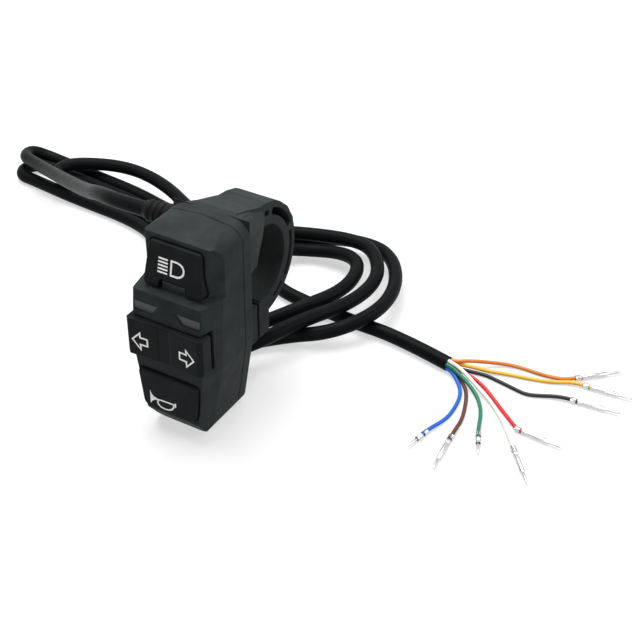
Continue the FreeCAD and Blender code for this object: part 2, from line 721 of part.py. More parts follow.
def make_turn_rocker():
    body = new_body("turn_rocker")
    low, top = dim("rocker_low_z"), dim("rocker_top_z")
    half, front, skirt = dim("rocker_half"), dim("rocker_fwd"), dim("rocker_skirt_fwd")
    strip, valley, end = dim("strip_half"), dim("valley"), dim("rocker_end")
    face = [
        (half, -skirt), (half, end - front), (half - end, -front), (strip + 0.7, valley - 0.2 - front),
        (strip, valley - front),
    ]
    sketch = new_sketch(body, "XY_Plane", low)
    polygon(sketch, face + [(-x, y) for x, y in reversed(face)])
    pad(body, sketch, top - low)
    fillet(body, 0.7, corner_at(half, low))
    fillet(body, 0.7, corner_at(half, top))
    fillet(body, 0.4, lambda edge: edge.BoundBox.YMax < -skirt.value - 1.5 and not along(edge, Z_AXIS))
    sketch = new_sketch(body, "XY_Plane", low + 1.2)
    both_sides(sketch, [(2.2, -skirt + 1), (half - 1.2, -skirt + 1), (half - 1.2, 1.6 - front), (2.2, 1.8 + valley - front)])
    pocket(body, sketch, top - low - 2.4, reverse=True)
    sketch = new_sketch(body, "XY_Plane", low)
    disc(sketch, 0, -dim("pivot_fwd"), 1.8)
    pad(body, sketch, top - low)
    sketch = new_sketch(body, "XY_Plane", ROCKER_MID - 1.5)
    reach = dim("pivot_fwd") - dim("slide_arm") - 0.5
    box_outline(sketch, -0.7, 0.7, -dim("pivot_fwd"), -reach)
    pad(body, sketch, 3)
    sketch = new_sketch(body, "XY_Plane", low - 1)
    disc(sketch, 0, -dim("pivot_fwd"), dim("pin_r") + dim("pin_fit"))
    pocket(body, sketch, top - low + 2, reverse=True)
    return body


def rod(x, y, z, way, radius, length):
    """A cylinder that starts at a point and runs along a direction; y is from the parting plane."""
    cylinder = doc.addObject("Part::Cylinder", "rod")
    bind(cylinder, "Radius", radius)
    bind(cylinder, "Height", length)
    cylinder.Placement = Placement(Vector(0, 0, 0), Rotation(Z_AXIS, way))
    bind(cylinder, "Placement.Base.x", x)
    bind(cylinder, "Placement.Base.y", PART_Y + y)
    bind(cylinder, "Placement.Base.z", z)
    return cylinder


def fused(pieces):
    joined = doc.addObject("Part::MultiFuse", "fused")
    joined.Shapes = pieces
    return joined


def cut_away(base, tool):
    cut = doc.addObject("Part::Cut", "cut")
    cut.Base = base
    cut.Tool = tool
    return cut


def node_of(label, pieces):
    """One named node out of separate solids."""
    group = doc.addObject("Part::Compound", label)
    group.Links = pieces
    group.Label = label
    NODES.append(group)
    return group


def make_rocker_pin():
    body = new_body("rocker_pin")
    low = dim("rocker_low_z") - GAP - 1.7
    sketch = new_sketch(body, "XY_Plane", low)
    disc(sketch, 0, -dim("pivot_fwd"), dim("pin_r"))
    pad(body, sketch, dim("rocker_top_z") + GAP + 1.7 - low)
    return body


def make_board():
    body = new_body("circuit_board")
    half, thick = dim("board_half"), dim("board_thick")
    front_pad(body, rectangle(-half, half, dim("board_low_z"), dim("board_top_z")), dim("board_back_fwd"),
              dim("board_back_fwd") + thick)
    front_cut(body, holes(BOARD_SCREWS, dim("screw_r") + 0.15), dim("board_back_fwd") - 1, BOARD_FRONT + 1)
    return body


def make_press_switch(label, middle, height):
    """A square switch body with a blind hole for its plunger."""
    body = new_body(label + "_switch_body")
    half, hole = dim("switch_half"), dim("stem_half") + SLIP
    front_pad(body, rectangle(-half, half, middle - half, middle + half), BOARD_FRONT, SWITCH_TOP)
    front_cut(body, rectangle(-hole, hole, middle - hole, middle + hole), BOARD_FRONT + 0.5, SWITCH_TOP + 1)
    plunger = new_body(label + "_switch_plunger")
    stem = dim("stem_half")
    front_pad(plunger, rectangle(-stem, stem, middle - stem, middle + stem), BOARD_FRONT + 2.4, height)
    return body, plunger


def make_turn_switch():
    body = new_body("turn_switch_body")
    top = BOARD_FRONT + 2.1
    front_pad(body, rectangle(as_size(-4.5), as_size(4.5), ROCKER_MID - 2.5, ROCKER_MID + 2.5), BOARD_FRONT, top)
    front_cut(body, rectangle(as_size(-3.6), as_size(3.6), ROCKER_MID - 1.3 - SLIP, ROCKER_MID + 1.3 + SLIP),
              BOARD_FRONT + 0.8, top + 1)
    slider = new_body("turn_switch_slider")
    reach = dim("pivot_fwd") - dim("slide_arm")
    front_pad(slider, rectangle(as_size(-2.3), as_size(2.3), ROCKER_MID - 1.3, ROCKER_MID + 1.3),
              BOARD_FRONT + 0.8 + SLIP, reach + 0.7)
    front_cut(slider, rectangle(as_size(-0.85), as_size(0.85), ROCKER_MID - 2, ROCKER_MID + 2), reach - 0.9,
              reach + 2)
    return body, slider


def make_leds():
    """Surface lamps on the board behind the windows and the light pipe."""
    lamps = []
    for x, z in ((-4.9, LED_Z), (4.9, LED_Z), (0, LAMP_LED_Z)):
        lamp = doc.addObject("Part::Box", "lamp")
        bind(lamp, "Length", 2.0)
        bind(lamp, "Width", 0.8)
        bind(lamp, "Height", 1.2)
        bind(lamp, "Placement.Base.x", as_size(x) - 1.0)
        bind(lamp, "Placement.Base.y", PART_Y - BOARD_FRONT - 0.8)
        bind(lamp, "Placement.Base.z", z - 0.6)
        lamps.append(lamp)
    return node_of("indicator_leds", lamps)


def make_screws():
    deep, tall, radius = dim("rear_deep"), dim("head_tall"), dim("screw_r")
    screws = []
    for x, z in LOW_SCREWS + HIGH_SCREWS:
        head = rod(x, deep - tall, z, Y_AXIS, dim("head_r"), tall)
        shank = rod(x, deep - tall, z, -Y_AXIS, radius, deep + dim("cavity_fwd") - tall - 0.4)
        screws.append(fused([head, shank]))
    node_of("shell_screws", screws)
    screws = []
    for x, z in BOARD_SCREWS:
        back = -dim("board_back_fwd")
        head = rod(x, back, z, Y_AXIS, dim("head_r"), tall)
        shank = rod(x, back, z, -Y_AXIS, radius, FLOOR - 0.9 - dim("board_back_fwd"))
        screws.append(fused([head, shank]))
    node_of("board_screws", screws)


def make_clamp_fasteners():
    height, seat = dim("clamp_z"), dim("lug_back") - 2.2
    nut_back = dim("rear_deep") - WALL + 9.7
    head = rod(0, seat, height, Y_AXIS, dim("clamp_head_r"), dim("clamp_head"))
    shank = rod(0, seat, height, -Y_AXIS, dim("clamp_r"), seat - nut_back + dim("nut_tall") + 1)
    socket = doc.addObject("Part::Prism", "socket")
    socket.Polygon = 6
    bind(socket, "Circumradius", 1.75)
    bind(socket, "Height", 2.2)
    socket.Placement = Placement(Vector(0, 0, 0), Rotation(Z_AXIS, Y_AXIS))
    bind(socket, "Placement.Base.y", PART_Y + seat + dim("clamp_head") - 2)
    bind(socket, "Placement.Base.z", height)
    node_of("clamp_screw", [cut_away(fused([head, shank]), socket)])
    body = new_body("clamp_nut")
    sketch = new_sketch(body, "XZ_Plane", -nut_back)
    hexagon(sketch, as_size(0), height, dim("nut_flats"))
    disc(sketch, 0, height, dim("clamp_r") + 0.02)
    pad(body, sketch, dim("nut_tall"))


def make_gland():
    """Strain relief: plug in the boss, collar against it and a tapering sleeve."""
    body = new_body("cable_gland")
    y, z, face = dim("exit_back"), dim("exit_z"), HALF + 0.1
    bore, tip = dim("cable_r") + SEAT, dim("gland_r")
    end = face + dim("gland_long")
    sketch = new_sketch(body, "XY_Plane", z)
    polygon(sketch, [
        (as_size(-8), y + bore), (as_size(-8), y + 2.7), (-face - SLIP, y + 2.7), (-face - SLIP, y + tip + 0.5),
        (-face - 1.6, y + tip + 0.5), (-face - 1.6, y + tip - 0.1), (-end, y + tip - 0.8), (-end, y + bore),
    ])
    axis = sketch.addGeometry(Part.LineSegment(Vector(-20, y.value, 0), Vector(-8, y.value, 0)), True)
    pin_point(sketch, axis, 1, -20, y)
    pin_point(sketch, axis, 2, -8, y)
    turned = body.newObject("PartDesign::Revolution", "turned")
    turned.Profile = sketch
    turned.ReferenceAxis = (sketch, ["Axis0"])
    turned.Angle = 360
    body.Tip = turned
    doc.recompute()
    return body


# Cable routes: x, y from the parting plane, z, and the bend radius at each point.
# One cable, 4.2 mm thick, told as a lead, a flat coil of three turns and a tail.
LOW = dim("coil_z").value
PITCH = dim("coil_pitch").value
OVER = LOW + 5.1
LEAD = [
    (-16, 5.5, 50, 0), (-31, 5.5, 50, 25), (-43, 12, 46.5, 40), (-55, 23, 40, 60), (-69, 36, 30.5, 60),
    (-88, 48.6, 20, 60), (-106, 59.8, 12.4, 60), (-119, 67.2, 8.6, 40), (-129.4, 72.2, 7.2, 4.2),
    (-128.8, 79.3, 4.8, 3.6), (-122.5, 79.65, LOW, 8), (-118, 79.5, LOW, 0),
]
RIGHT_SIDE = [(-65, 72.2), (-20, 78.7), (17.6, 88.7), (28, 46), (-11.5, 7), (-61, 55.6), (-98, 59.7)]
RIGHT_BENDS = [50, 22, 24, 19, 30]
RIGHT_HEIGHTS = [LOW, LOW + 1.0, LOW + 5.4, LOW + 0.2, LOW]
TAIL = [
    (-28, 60.2, LOW, 0), (-22, 59.9, LOW, 16), (-13, 52.4, LOW, 30), (-1, 48.2, LOW, 30), (14, 49.8, LOW, 60),
    (32, 48.9, LOW, 60), (50, 44, LOW, 0),
]


def inset_corners(points, step):
    """Corners of an open outline moved inwards, to the right of its heading."""
    lines = []
    for (x0, y0), (x1, y1) in zip(points, points[1:]):
        way = Vector(x1 - x0, y1 - y0, 0).normalize()
        lines.append((Vector(x0 + way.y * step, y0 - way.x * step, 0), way))
    corners = []
    for (a, u), (b, v) in zip(lines, lines[1:]):
        along_u = ((b - a).cross(v)).z / (u.cross(v)).z
        corners.append(a + u * along_u)
    return corners


def right_side(step):
    """One pass round the right of the coil, with a hump where it lies over the tail."""
    corners = inset_corners(RIGHT_SIDE, step)
    points = []
    for corner, bend, grow, z in zip(corners, RIGHT_BENDS, (1, -1, -1, -1, 1), RIGHT_HEIGHTS):
        points.append((corner.x, corner.y, z, bend + grow * step))
    far, end, near = corners[1:4]
    rising = far + (end - far) * 0.6
    falling = end + (near - end) * 0.4
    points.insert(2, (rising.x, rising.y, LOW + 5.2, 30))
    points.insert(4, (falling.x, falling.y, LOW + 4.4, 30))
    return points


def coil_route():
    """Three nested turns; the second one is laid over the first at its left end."""
    last = right_side(2 * PITCH)
    low, high = last[5], last[6]
    share = (-40 - low[0]) / (high[0] - low[0])
    return [
        (-118, 79.5, LOW, 0), (-94, 78.7, LOW, 60), (-65, 72.2, LOW, 40),
    ] + right_side(0) + [
        (-98, 60, LOW, 60), (-125, 65.2, LOW, 3.9), (-125, 73.9, LOW, 3.9), (-94, 73.3, LOW, 60),
        (-65, 67, LOW, 40),
    ] + right_side(PITCH) + [
        (-75, 62.9, LOW + 2.4, 30), (-91, 65.1, OVER, 30), (-104.5, 67.5, OVER, 5), (-104, 78.3, OVER, 5),
        (-83, 79.9, OVER, 30), (-61, 75.7, OVER, 30), (-40, 65.9, OVER - 0.1, 20), (-27, 67.5, LOW, 20),
    ] + last[:6] + [
        (-40, low[1] + (high[1] - low[1]) * share, LOW, 5), (-40, 60.8, LOW, 5), (-28, 60.2, LOW, 0),
    ]


def bent_wire(route):
    """Straight runs joined by tangent arcs."""
    shift = PART_Y.value
    points = [Vector(x, y + shift, z) for x, y, z, bend in route]
    edges = []
    here = points[0]
    for before, point, after, (x, y, z, bend) in zip(points, points[1:], points[2:], route[1:]):
        back, ahead = (before - point), (after - point)
        room = 0.5 * min(back.Length, ahead.Length)
        back.normalize()
        ahead.normalize()
        turn = math.pi - back.getAngle(ahead)
        reach = min(bend * math.tan(turn / 2), 2 * room * 0.95)
        radius = reach / math.tan(turn / 2)
        middle = (back + ahead).normalize()
        centre = point + middle * (radius / math.cos(turn / 2))
        start, end = point + back * reach, point + ahead * reach
        edges.append(Part.LineSegment(here, start).toShape())
        edges.append(Part.Arc(start, centre - middle * radius, end).toShape())
        here = end
    edges.append(Part.LineSegment(here, points[-1]).toShape())
    return Part.Wire(edges)


def tube(label, route, radius):
    """A cord of round section swept along its bent route."""
    radius = as_size(radius).value
    wire = bent_wire(route)
    first = wire.Edges[0]
    way = first.tangentAt(first.FirstParameter)
    profile = Part.Wire(Part.Circle(first.valueAt(first.FirstParameter), way, radius).toShape())
    shell = Part.BRepOffsetAPI.MakePipeShell(wire)
    shell.add(profile)
    shell.build()
    shell.makeSolid()
    solid = shell.shape()
    expected = math.pi * radius ** 2 * wire.Length
    if abs(solid.Volume - expected) > 0.03 * expected:
        raise RuntimeError("%s: volume %.1f, expected %.1f" % (label, solid.Volume, expected))
    thing = doc.addObject("Part::Feature", label)
    thing.Shape = solid
    thing.Label = label
    NODES.append(thing)
    bends = [edge.Curve.Radius for edge in wire.Edges if edge.Curve.TypeId == "Part::GeomCircle"]
    print("%s: length %.1f, least bend radius %.1f" % (label, wire.Length, min(bends)))
    return wire


def least_gap(wires, radius, skip):
    """The least gap between stretches of one cord that lie further apart along it than a given way."""
    points, way, done = [], [], 0.0
    for wire in wires:
        count = max(2, int(wire.Length / 1.5))
        places = wire.discretize(count)
        points += places
        way += [done + wire.Length * i / (count - 1) for i in range(count)]
        done += wire.Length
    least = 1e9
    for i, point in enumerate(points):
        for j in range(i + 1, len(points)):
            if way[j] - way[i] > skip:
                least = min(least, point.distanceToPoint(points[j]))
    return least - 2 * radius


# Core wires: name, seat in the cable's end as ring angle (None for the middle), floor points
CORES = [
    ("orange", 0, [(57, 48), (64, 53), (74, 55.2), (83, 57.6), (93, 66)]),
    ("yellow", 309, [(57, 45), (64, 48.4), (73, 51.2), (85, 54.6), (98, 56)]),
    ("black", 51, [(58, 43.2), (66, 44.6), (75, 44.2), (85, 48.4), (97, 49)]),
    ("red", None, [(59, 41.6), (65, 39.6), (71, 34.4), (78, 30.6), (88, 29)]),
    ("white", 103, [(58.6, 39.6), (64.5, 35.8), (70, 30.4), (76, 23.6), (87, 12)]),
    ("green", 257, [(57.4, 38.6), (61.6, 35.6), (64.8, 30.4), (68.4, 23), (71, 17)]),
    ("brown", 154, [(55.6, 38.4), (58.6, 34.6), (60.8, 28.4), (62.6, 20), (65, 6)]),
    ("blue", 206, [(53.4, 38.2), (55.6, 33.4), (57.6, 27.4), (57.6, 19), (56, 9)]),
]
TIP_Z = 0.97


def core_route(angle, floor):
    """From the jacket's end face out and down to the floor."""
    end, before = TAIL[-1], TAIL[-2]
    way = Vector(end[0] - before[0], end[1] - before[1], 0).normalize()
    side = Vector(-way.y, way.x, 0)
    off = Vector(0, 0, 0)
    if angle is not None:
        turn = math.radians(angle)
        off = side * (1.3 * math.cos(turn)) + Z_AXIS * (1.3 * math.sin(turn))
    start = Vector(*end[:3]) + off
    out = start + way * 2.6
    points = [(start.x, start.y, start.z), (out.x, out.y, out.z)]
    radius = dim("wire_r").value + 0.02
    heights = [radius] * (len(floor) - 2) + [TIP_Z, TIP_Z]
    points += [(x, y, z) for (x, y), z in zip(floor, heights)]
    return [(x, y, z, 9) for x, y, z in points]


def make_cores():
    terminals = []
    for name, angle, floor in CORES:
        route = core_route(angle, floor)
        wire = tube("wire_" + name, route, dim("wire_r"))
        edge = wire.Edges[-1]
        way = edge.tangentAt(edge.LastParameter)
        way.z = 0
        way.normalize()
        x, y, z, bend = route[-1]
        tip = Vector(x, y, z)
        back, bore = tip - way * 2.6, dim("wire_r") + SEAT
        barrel = rod(back.x, back.y, TIP_Z, way, bore + 0.35, 3.2)
        inside = rod(back.x - way.x, back.y - way.y, TIP_Z, way, bore, 3.6)
        pin = rod(tip.x + way.x * 0.5, tip.y + way.y * 0.5, TIP_Z, way, 0.5, 5)
        terminals.append(fused([cut_away(barrel, inside), pin]))
    node_of("crimp_terminals", terminals)


def make_all():
    make_front_shell()
    make_rear_shell()
    make_headlight_button()
    make_light_pipe()
    make_indicator_lens("left_indicator_lens", -1)
    make_indicator_lens("right_indicator_lens", 1)
    make_turn_rocker()
    make_rocker_pin()
    make_horn_button()
    make_board()
    make_press_switch("headlight", LAMP_MID, LAMP_ROOF)
    make_turn_switch()
    make_press_switch("horn", HORN_MID, as_size(11.3) - SLIP)
    make_leds()
    make_screws()
    make_clamp_fasteners()
    make_gland()
    radius = dim("cable_r")
    lead = tube("cable_lead", LEAD, radius)
    coil = tube("cable_coil", coil_route(), radius)
    tube("cable_tail", TAIL, radius)
    print("least gap of the cable to itself: %.2f" % least_gap([lead, coil], radius.value, 16))
    make_cores()


make_all()
doc.recompute()

# Checks and export
os.makedirs("parts", exist_ok=True)
for thing in doc.Objects:
    if "Invalid" in thing.State or "Error" in thing.State:
        raise RuntimeError("%s did not recompute: %s" % (thing.Label, thing.State))
for thing in NODES:
    if thing.Shape.isNull() or not thing.Shape.isValid():
        raise RuntimeError("%s has no valid shape" % thing.Label)
    thing.Shape.exportStep("parts/%s.step" % thing.Label)
    print(thing.Label, len(thing.Shape.Solids), "%.1f" % thing.Shape.Volume)
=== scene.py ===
import json
import math
import bpy
import bmesh
from mathutils import Matrix, Vector


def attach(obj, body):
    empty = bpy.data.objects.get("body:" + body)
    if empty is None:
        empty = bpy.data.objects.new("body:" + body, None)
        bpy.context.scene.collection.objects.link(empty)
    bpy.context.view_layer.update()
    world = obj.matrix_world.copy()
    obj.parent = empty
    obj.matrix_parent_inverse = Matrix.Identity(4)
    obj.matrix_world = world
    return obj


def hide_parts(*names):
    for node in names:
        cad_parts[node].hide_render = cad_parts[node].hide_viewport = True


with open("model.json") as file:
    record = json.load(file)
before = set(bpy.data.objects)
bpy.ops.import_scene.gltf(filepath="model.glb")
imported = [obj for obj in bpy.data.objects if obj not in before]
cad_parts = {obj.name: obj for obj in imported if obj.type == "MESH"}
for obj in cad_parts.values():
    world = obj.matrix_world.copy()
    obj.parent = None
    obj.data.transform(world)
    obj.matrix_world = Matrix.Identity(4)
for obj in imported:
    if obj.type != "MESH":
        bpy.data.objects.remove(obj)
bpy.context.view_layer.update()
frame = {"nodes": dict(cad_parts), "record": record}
nodes = frame["nodes"]
scene = bpy.context.scene

MM = 0.001
# The parting plane between the two shells lies at this y, in mm
PART_Y = -6.8
# Axis of the cable where it leaves the housing, in mm
EXIT_Y, EXIT_Z = -1.3, 50.0


def add_object(name, data):
    thing = bpy.data.objects.new(name, data)
    scene.collection.objects.link(thing)
    return thing


# Camera

# The photograph's view, fitted to the clamp's bore and the housing's edges: angles in degrees, lens and
# sensor in mm, place and clipping in metres
VIEW_AZIMUTH, VIEW_ELEVATION, VIEW_ROLL = 29.813, 35.681, 0.695
VIEW_LENS, VIEW_SENSOR = 73.125, 36.0
VIEW_PLACE = (0.16179, -0.23038, 0.22344)
CLIP_NEAR, CLIP_FAR = 0.01, 20.0


def make_camera():
    azimuth, elevation, roll = (math.radians(angle) for angle in (VIEW_AZIMUTH, VIEW_ELEVATION, VIEW_ROLL))
    data = bpy.data.cameras.new("camera")
    data.lens = VIEW_LENS
    data.sensor_width = VIEW_SENSOR
    data.clip_start = CLIP_NEAR
    data.clip_end = CLIP_FAR
    camera = add_object("camera", data)
    back = Vector((math.sin(azimuth) * math.cos(elevation), -math.cos(azimuth) * math.cos(elevation),
                   math.sin(elevation)))
    level = Vector((math.cos(azimuth), math.sin(azimuth), 0.0))
    upright = back.cross(level)
    right = level * math.cos(roll) + upright * math.sin(roll)
    top = upright * math.cos(roll) - level * math.sin(roll)
    turn = Matrix((right, top, back)).transposed().to_4x4()
    camera.matrix_world = Matrix.Translation(VIEW_PLACE) @ turn
    scene.camera = camera


make_camera()


# Cords

CABLE_D = 4.2 * MM
CORE_D = 1.1 * MM
# How finely a cord is divided along and around
CORD_STEPS, CORD_ROUNDNESS = 12, 6
# The cable's control points in mm, from inside the strain relief to the cut end of the jacket
CABLE_ROUTE = [
    # Out of the housing and down to the far left
    (-16, -1.3, 50), (-31, -1.3, 49.4), (-42.7, 4.9, 45.4), (-53.4, 13.7, 38.2), (-69.1, 26.8, 28.6),
    (-88.2, 41, 18.9), (-104.6, 52.1, 12), (-115.3, 58, 8.8), (-123.8, 61.8, 7.2),
    # First hairpin, back along the floor and over the other strands
    (-126.2, 68.6, 5.9), (-120.4, 72.4, 2.8), (-100.6, 70.7, 2.2), (-80.8, 68.7, 2.2), (-63.8, 64.4, 2.2),
    (-47.1, 64.4, 2.4), (-33.1, 60.8, 7.2), (-11.5, 70, 7.6),
    # Middle loop at the right, and in behind the housing
    (2.8, 72.8, 7.8), (10.4, 68.4, 7.6), (16.6, 57.5, 7.2), (15.6, 43.3, 7), (7.9, 26.7, 7.9),
    (1.9, 10.9, 7.2), (-11.5, 0.2, 2.4),
    # Along the floor to the second hairpin and back
    (-56, 47, 2.2), (-69.6, 53.7, 2.2), (-96.5, 55.2, 2.2), (-107, 56.4, 2.2), (-117.2, 57.6, 2.2),
    (-122.2, 57.9, 2.2), (-124.8, 62.2, 2.2), (-122.4, 66.6, 2.2), (-117.2, 67.2, 2.2),
    (-109.5, 66.5, 2.2), (-96.5, 65.4, 2.2), (-77, 63.6, 2.2), (-59.8, 58.9, 2.2), (-37.9, 58.6, 2.2),
    (-23.3, 65.3, 2.4), (-12, 75.5, 3.4),
    # Outer loop at the right, and in behind the housing
    (4.6, 77.3, 5.2), (15.3, 71, 6), (23.2, 56.6, 6.8), (24.1, 42.2, 6.8), (16.3, 29.3, 5.2),
    (3.5, 24.6, 2.3), (-11.5, 7.1, 2.2),
    # Along the floor, up over the strands below to the third hairpin, and back
    (-52, 52.5, 2.2), (-73, 58.2, 2.2), (-87.9, 59.8, 2.2), (-95.3, 59, 5), (-101.2, 56.9, 7.3),
    (-106.2, 57.7, 7.3), (-108.2, 62, 7.3), (-104.8, 68, 7.3), (-88.9, 74.5, 7.3), (-71.2, 71.3, 7.3),
    (-52.9, 61.2, 7.3), (-36.3, 55.5, 7), (-22.6, 54.9, 6.8), (-13.8, 66.1, 3.2),
    # Inner loop at the right, and in behind the housing
    (-0.1, 67.9, 5.5), (8.3, 62.1, 6.8), (10.5, 48.3, 6.8), (3.7, 33.8, 6.6), (-10.8, 14.8, 2.3),
    # Short turn behind the housing, and out to the right along the floor
    (-32.5, 46, 2.2), (-37.3, 52, 2.2), (-34.5, 55.9, 2.2), (-28.4, 57.4, 2.2), (-20.5, 52.5, 2.2),
    (-11, 44.8, 2.2), (-0.6, 42.7, 2.2), (15.6, 41.2, 2.2), (32.6, 41.3, 2.2), (50, 37.2, 2.2),
]
# Core wires, in mm: real length, how far the crimp reaches back over the wire's end, control points
CORES = {
    "orange": (48.9, 8.3, [(50.2, 38, 3.17), (52, 38.2, 3.2), (53.8, 40, 3), (56.8, 43, 2), (60.4, 45.6, 1.2),
                           (64.2, 47.6, 0.7), (68.6, 48.2, 0.57), (72.8, 48.1, 0.57), (76.7, 48.6, 0.57),
                           (80.1, 49, 0.97), (84.5, 53, 0.97), (88.4, 56.6, 0.97)]),
    "yellow": (49.7, 8.3, [(50.3, 38.4, 2.15), (52.2, 38.8, 2), (56.3, 40.3, 1.6), (59.5, 41.4, 0.9),
                           (65.2, 43.4, 0.6), (71.9, 44.8, 0.57), (77.6, 46.5, 0.57), (82.4, 49.1, 0.97),
                           (88.4, 49.5, 0.97), (93.7, 49.9, 0.97)]),
    "black": (48.2, 8.3, [(50.2, 37.9, 1.16), (52.4, 38.1, 1), (56.2, 39.2, 0.62), (60.2, 39.9, 0.57),
                          (64.2, 39.3, 0.57), (69.2, 38.4, 0.57), (73.1, 37.7, 0.57), (76.2, 38.9, 0.57),
                          (81.7, 41.3, 0.97), (87.7, 41.8, 0.97), (92.9, 42.3, 0.97)]),
    "red": (41.8, 8.3, [(50, 37.2, 2.2), (51.6, 36.8, 2.2), (56, 36.7, 1.3), (59.1, 36.3, 0.8),
                        (62.7, 34.4, 0.6), (67, 30.9, 0.57), (71.3, 27.4, 0.57), (74.7, 24.6, 0.7),
                        (77, 22.6, 0.97), (80, 22.4, 0.97), (84.8, 22.08, 0.97)]),
    "white": (49.9, 8.3, [(49.9, 37, 3.47), (51.6, 36.5, 3.5), (53.4, 36.1, 3.3), (57.6, 34.4, 2.5),
                          (61.9, 31.9, 1.6), (65.5, 30.2, 0.9), (69.9, 26.5, 0.6), (74.2, 21.8, 0.57),
                          (77.1, 17.8, 0.97), (80.8, 13.1, 0.97), (84.1, 8.9, 0.97)]),
    "green": (35.2, 2.6, [(49.7, 36.1, 2.81), (51.3, 35.7, 2.8), (53.5, 34.9, 2.5), (57, 33.3, 1.9),
                          (60.4, 31.3, 1.2), (63.4, 28.4, 0.8), (66, 24.2, 0.6), (68.3, 17.2, 0.97),
                          (69.4, 14.9, 0.97), (70, 13.5, 0.97)]),
    "brown": (42.1, 8.3, [(49.9, 36.9, 0.95), (51.6, 36.4, 0.9), (55.2, 34.2, 0.7), (57.6, 32, 0.6),
                          (59.6, 28.7, 0.57), (61.4, 23.8, 0.57), (62.8, 18.6, 0.57), (63.1, 14.2, 0.97),
                          (63.6, 8.2, 0.97), (64.1, 2.9, 0.97)]),
    "blue": (36.5, 2.6, [(49.7, 36.1, 1.68), (51.3, 35.6, 1.6), (54, 33.7, 1.2), (56.8, 30.6, 0.8),
                         (58.3, 27.1, 0.6), (59, 22.3, 0.57), (59, 17.1, 0.57), (57.1, 11, 0.97),
                         (56.7, 8.5, 0.97), (56.4, 7, 0.97)]),
}


def cord_curve(name, route, diameter):
    """A round cord along one smooth line; the route's points are its control points, in mm."""
    data = bpy.data.curves.new(name, "CURVE")
    data.dimensions = "3D"
    spline = data.splines.new("NURBS")
    spline.points.add(len(route) - 1)
    for control, place in zip(spline.points, route):
        control.co = (*(v * MM for v in place), 1.0)
        control.radius = diameter / 2
    spline.order_u = 3
    spline.use_endpoint_u = True
    spline.resolution_u = CORD_STEPS
    # The bevel is 1 m deep, so that a point's radius is the cord's own
    data.bevel_depth = 1.0
    data.bevel_resolution = CORD_ROUNDNESS
    data.use_fill_caps = True
    data.twist_mode = "MINIMUM"
    return add_object(name, data)


# Meshes

def link_mesh(name, build, smooth_angle=35):
    """A new object from a bmesh, with its faces shaded smooth up to an angle."""
    bmesh.ops.recalc_face_normals(build, faces=build.faces)
    limit = math.radians(smooth_angle)
    for edge in build.edges:
        edge.smooth = len(edge.link_faces) == 2 and edge.calc_face_angle(0.0) < limit
    for face in build.faces:
        face.smooth = True
    data = bpy.data.meshes.new(name)
    build.to_mesh(data)
    build.free()
    return add_object(name, data)


def add_loops(build, rings):
    return [[build.verts.new(point) for point in ring] for ring in rings]


def band(build, first, second):
    """Faces between two loops that have as many points."""
    count = len(first)
    for i in range(count):
        j = (i + 1) % count
        build.faces.new((first[i], first[j], second[j], second[i]))


def loft(build, rings):
    """A closed solid through rings that have as many points."""
    loops = add_loops(build, rings)
    for first, second in zip(loops, loops[1:]):
        band(build, first, second)
    build.faces.new(loops[0])
    build.faces.new(loops[-1][::-1])


def circle_ring(x, radius, count):
    """Points of a circle across the x axis."""
    turns = [2 * math.pi * i / count for i in range(count)]
    return [Vector((x, radius * math.cos(turn), radius * math.sin(turn))) for turn in turns]


def sleeve(build, stations, bore):
    """A turned piece along x with a plain bore; stations are (x, radius)."""
    count = 48
    rings = [circle_ring(x, radius, count) for x, radius in stations]
    rings += [circle_ring(stations[-1][0], bore, count), circle_ring(stations[0][0], bore, count)]
    loops = add_loops(build, rings)
    for first, second in zip(loops, loops[1:] + loops[:1]):
        band(build, first, second)


# Strain relief

# Along the cable in mm, away from the housing: where its plug starts, and the face of the housing's boss
GLAND_START, GLAND_FACE = 8.0, 11.8
# Radii of its bore, which holds the cable, and of its plug in the boss
GLAND_BORE_R, PLUG_R = 2.12, 2.7
# (distance from the boss's face, radius) of the collar and of the tapering tip
COLLAR = [(0.1, PLUG_R), (0.1, 3.85), (0.25, 4.0), (1.35, 4.0), (1.6, 3.8)]
TIP = [(9.4, 2.45), (9.85, 2.4), (10.0, 2.25)]
# Ribs: how many, distance of the first from the face and of each from the one before, first radius, taper
RIB_COUNT, RIB_FIRST, RIB_PITCH, RIB_R, RIB_TAPER = 4, 1.9, 1.85, 3.35, 0.15
# A rib's section: distance along it, depth under its top
RIB = [(0.0, 0.32), (0.25, 0.08), (0.45, 0.0), (1.05, 0.0), (1.25, 0.08), (1.5, 0.32)]


def make_strain_relief():
    """Plug, collar and a tapering sleeve with moulded ribs."""
    build = bmesh.new()
    stations = [(GLAND_START, PLUG_R)] + [(GLAND_FACE + along, radius) for along, radius in COLLAR]
    for rib in range(RIB_COUNT):
        start = GLAND_FACE + RIB_FIRST + rib * RIB_PITCH
        radius = RIB_R - rib * RIB_TAPER
        stations += [(start + along, radius - depth) for along, depth in RIB]
    stations += [(GLAND_FACE + along, radius) for along, radius in TIP]
    sleeve(build, [(x * MM, radius * MM) for x, radius in stations], GLAND_BORE_R * MM)
    build.transform(Matrix.Translation((0, EXIT_Y * MM, EXIT_Z * MM)) @ Matrix.Rotation(math.pi, 4, "Z"))
    piece = link_mesh("strain_relief", build, smooth_angle=50)
    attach(piece, "housing")
    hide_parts("cable_gland")
    return piece


# Terminals

# Each is built along x in mm, with the end of its wire's line at zero. Its crimps are placed from its back
# end, and the barrel's end, the lance and the pin from zero, so that a terminal that reaches further back has
# a longer barrel.

# Distances from the back end of the wings, the strip, the wire crimp, and the neck with the barrel's start
WING_STATIONS = (0.0, 0.3, 1.3, 1.5)
STRIP_STATIONS = (1.3, 2.0, 2.6)
LOBE_STATIONS = (1.95, 2.15, 3.1, 3.3)
NECK_STATIONS = (3.2, 3.9, 4.1)
